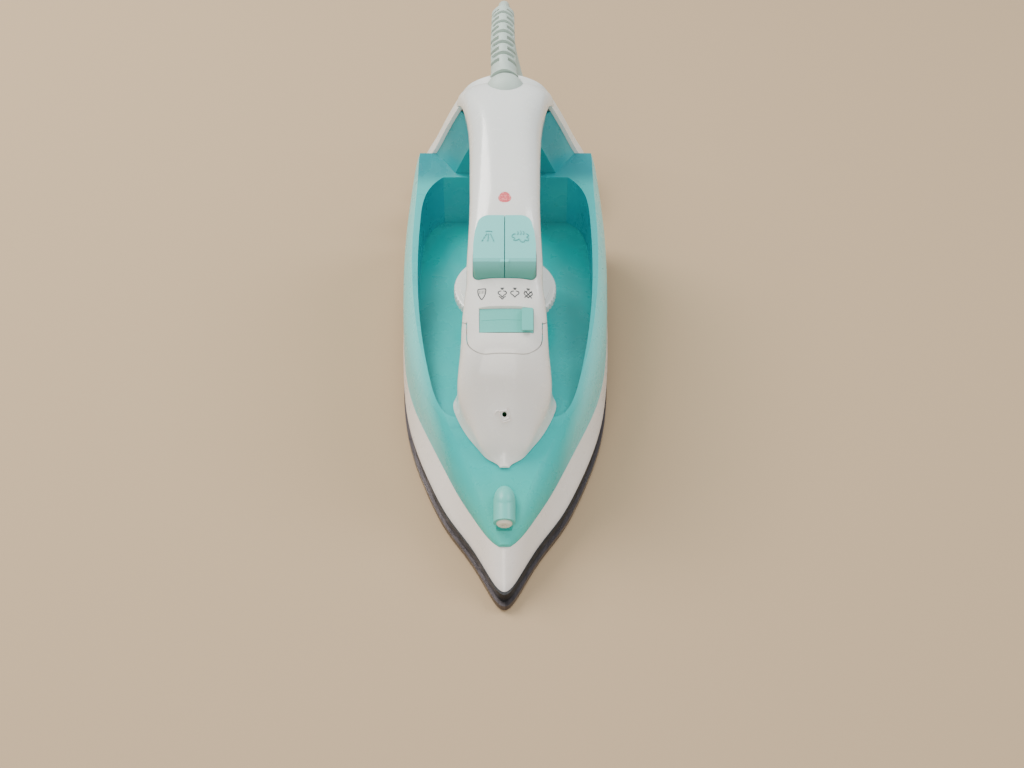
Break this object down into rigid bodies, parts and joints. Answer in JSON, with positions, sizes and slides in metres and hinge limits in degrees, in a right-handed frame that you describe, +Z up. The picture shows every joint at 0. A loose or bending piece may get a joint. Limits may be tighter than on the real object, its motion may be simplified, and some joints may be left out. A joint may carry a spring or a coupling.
{
  "type": "steam iron",
  "caption": "Household steam iron with a translucent water tank, loop handle, flip-up filler lid, temperature dial, spray and steam keys, a steam slider and a mains cord tied in a coil.",
  "frame": {"origin": "middle of the iron's length and width, on the underside of the soleplate", "axes": "+Z up from the ironing surface, +Y from the tip towards the heel, +X across, so that X, Y and Z are right-handed"},
  "size_m": [0.1198, 0.3843, 0.1478],
  "materials": {
    "sole": "dark polished",
    "steel": "plain",
    "shield": "heat resistant",
    "white_shell": "gloss",
    "ceramic": "plain",
    "silicone": "soft",
    "tank": "translucent",
    "tank_dark": "gloss",
    "brass": "machined",
    "cord_rubber": "soft",
    "mint": "satin",
    "lens": "clear tinted",
    "lead": "silicone insulation",
    "grey_green": "moulded",
    "chrome_pin": "plated"
  },
  "bodies": {
    "body": {"soleplate": "sole", "heating_element": "steel", "steam_chamber_cover": "steel", "heat_shield": "shield", "shield_screws": "steel", "skirt": "white_shell", "thermostat": "ceramic", "thermal_fuse": "steel", "chamber_seal": "silicone", "tank": "tank", "tank_column": "tank", "tank_left_wall": "tank", "tank_right_wall": "tank", "tank_tower": "tank", "filler_gasket": "silicone", "nozzle_housing": "white_shell", "nozzle_tip": "brass", "handle_top": "white_shell", "handle_bottom": "tank_dark", "rear_cover": "white_shell", "rear_cover_screws": "steel", "heel_feet": "cord_rubber", "slider_tray": "mint", "valve_seat": "brass", "indicator_lens": "lens", "lamp_holder": "ceramic", "spray_hose": "silicone", "steam_hose": "silicone", "suction_tubes": "silicone", "terminal_block": "ceramic", "cord_clamp": "ceramic", "mains_leads": "lead", "cord_ball": "grey_green", "strain_relief": "grey_green", "power_cord": "grey_green", "cord_coil": "grey_green", "cord_tail": "grey_green", "cord_tie": "cord_rubber", "plug_body": "grey_green", "plug_pins": "chrome_pin", "spray_pump_body": "ceramic", "steam_pump_body": "ceramic", "spray_spring": "steel", "steam_spring": "steel"},
    "dial": {"temperature_dial": "mint", "dial_shaft": "ceramic"},
    "spray_key": {"spray_button": "mint"},
    "steam_key": {"steam_button": "mint"},
    "slider": {"steam_slider": "mint"},
    "metering_rod": {"steam_rod": "brass"},
    "lid": {"filler_cover": "white_shell"}
  },
  "joints": [
    {"name": "dial_turn", "type": "hinge", "parent": "body", "child": "dial", "pos_m": [0, 0.027, 0.065], "axis": [0, 0, 1], "range_deg": [-135, 135]},
    {"name": "spray_press", "type": "slide", "parent": "body", "child": "spray_key", "axis": [0, 0, 1], "range_m": [-0.0045, 0], "stiffness_N_per_m": 400, "springref_m": 0.002, "deforming": ["spray_spring"]},
    {"name": "steam_press", "type": "slide", "parent": "body", "child": "steam_key", "axis": [0, 0, 1], "range_m": [-0.0045, 0], "stiffness_N_per_m": 400, "springref_m": 0.002, "deforming": ["steam_spring"]},
    {"name": "steam_slide", "type": "slide", "parent": "body", "child": "slider", "axis": [1, 0, 0], "range_m": [-0.0208, 0]},
    {"name": "rod_lift", "type": "slide", "parent": "body", "child": "metering_rod", "axis": [0, 0, 1], "range_m": [0, 0.0031]},
    {"name": "cover_flip", "type": "hinge", "parent": "body", "child": "lid", "pos_m": [0, -0.034, 0.09], "axis": [-1, 0, 0], "range_deg": [0, 55]}
  ],
  "couplings": [
    {"joint": "rod_lift", "follows": "steam_slide", "ratio": -0.14423}
  ]
}
